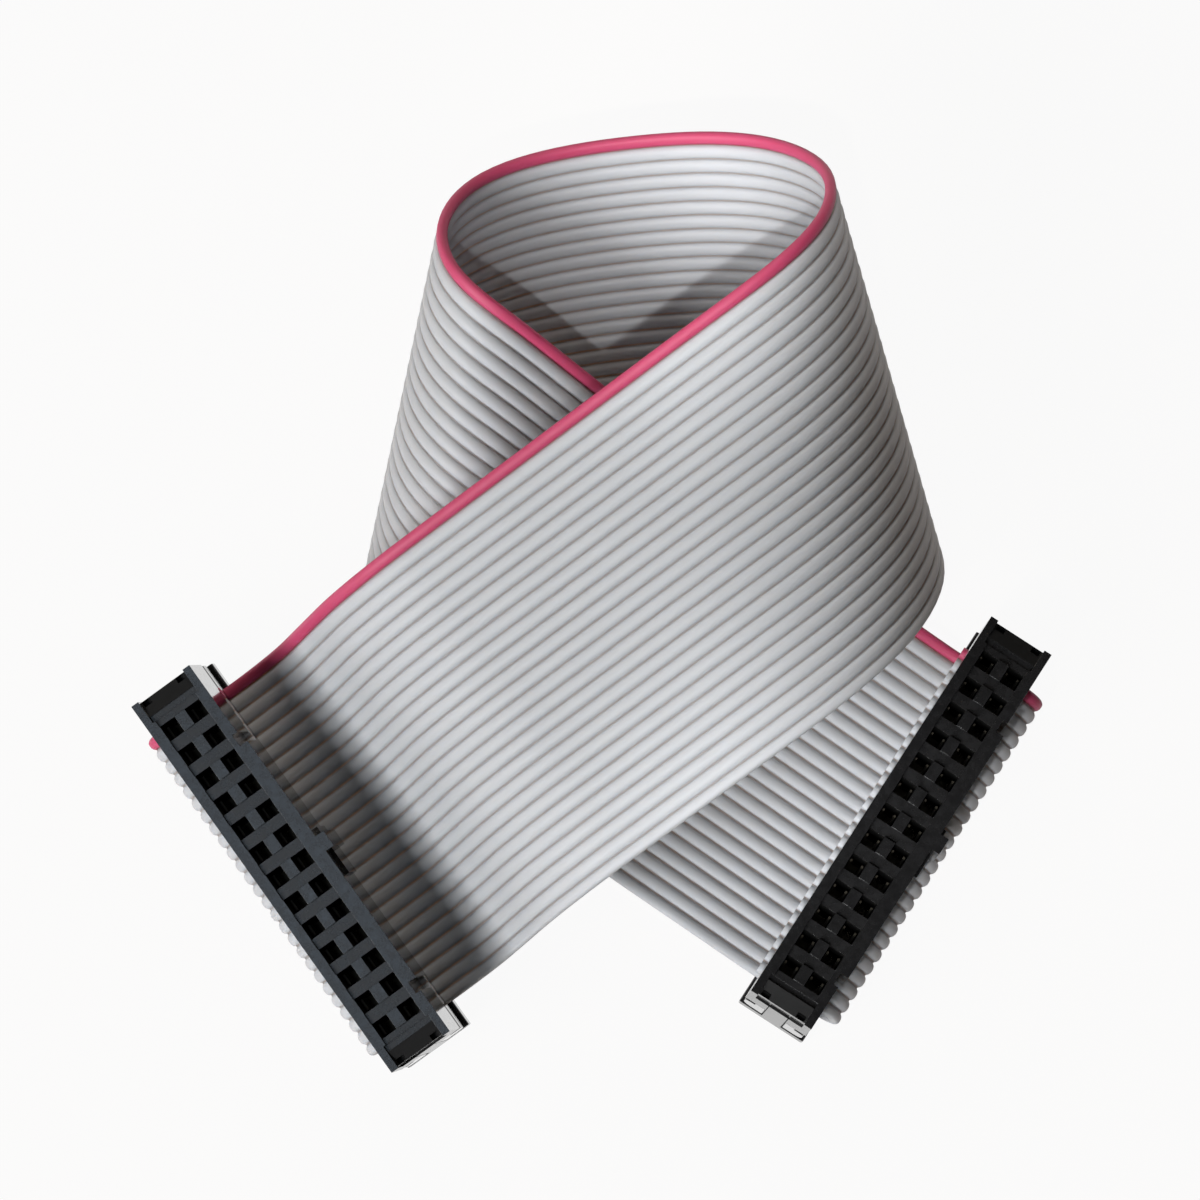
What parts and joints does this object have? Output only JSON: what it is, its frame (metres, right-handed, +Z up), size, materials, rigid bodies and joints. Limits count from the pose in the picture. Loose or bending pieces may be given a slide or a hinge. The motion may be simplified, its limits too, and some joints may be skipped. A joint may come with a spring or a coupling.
{
  "type": "ribbon cable",
  "caption": "Flat ribbon cable laid in one loop, with a two-row socket connector and strain relief pressed on each end and a red edge conductor.",
  "frame": {"origin": "centre of the right connector's underside, on the surface that the cable lies on", "axes": "+Z up out of that surface; +X to the right and +Y to the back as seen from the front, with the loop at the back and both connectors at the front"},
  "size_m": [0.0772, 0.0786, 0.0381],
  "materials": {
    "grey_insulation": "glossy grey PVC insulation",
    "red_insulation": "glossy red PVC insulation",
    "black_plastic": "moulded black thermoplastic, low sheen",
    "contact_metal": "plated spring contacts"
  },
  "bodies": {
    "root": {"ribbon_grey": "grey_insulation", "ribbon_red": "red_insulation", "left_body": "black_plastic", "left_cover": "black_plastic", "left_strain_relief": "black_plastic", "left_contacts_key_side": "contact_metal", "left_contacts_plain_side": "contact_metal", "right_body": "black_plastic", "right_cover": "black_plastic", "right_strain_relief": "black_plastic", "right_contacts_key_side": "contact_metal", "right_contacts_plain_side": "contact_metal"}
  },
  "joints": []
}
